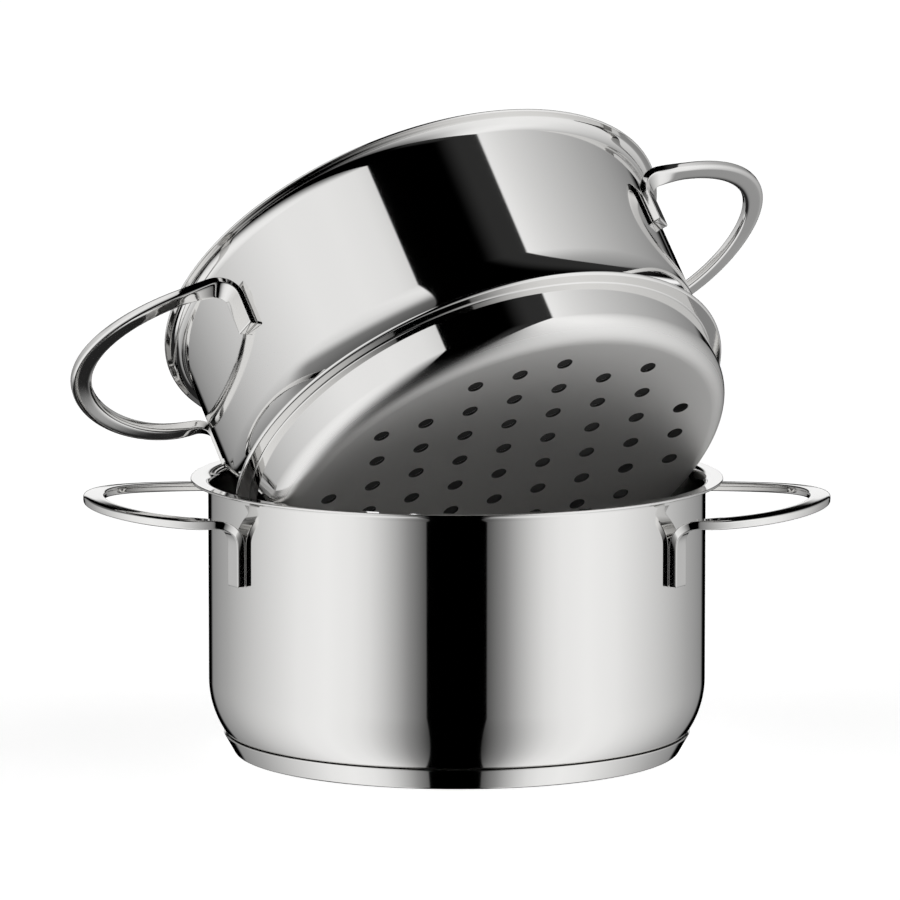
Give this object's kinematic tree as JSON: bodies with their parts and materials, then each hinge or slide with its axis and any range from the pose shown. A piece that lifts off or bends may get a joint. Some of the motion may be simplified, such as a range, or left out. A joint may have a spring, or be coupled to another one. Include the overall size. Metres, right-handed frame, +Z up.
{
  "type": "steamer pot",
  "caption": "Polished steel steamer pot: a pot with loop handles on a thick base, and a perforated insert with loop handles that leans in its mouth and lifts out.",
  "frame": {"origin": "centre of the base's flat underside, on the table", "axes": "+X along the pot's pair of handles, +Z up the pot's axis, -Y towards the front that the picture shows"},
  "size_m": [0.2773, 0.2033, 0.2391],
  "materials": {
    "pot_shell": "mirror-polished stainless steel",
    "base_capsule": "polished stainless steel",
    "heat_disc": "plain, hidden inside the base",
    "pot_handles": "polished stainless steel",
    "insert_shell": "mirror-polished wall, satin foot",
    "insert_handles": "polished stainless steel"
  },
  "bodies": {
    "pot": {"pot_body": "pot_shell", "base_cap": "base_capsule", "base_core": "heat_disc", "pot_handle_right": "pot_handles", "pot_handle_left": "pot_handles"},
    "insert": {"insert_body": "insert_shell", "insert_handle_right": "insert_handles", "insert_handle_left": "insert_handles"}
  },
  "joints": [
    {"name": "insert_lift", "type": "slide", "parent": "pot", "child": "insert", "axis": [0, 0, 1], "range_m": [0, 0.08]}
  ]
}
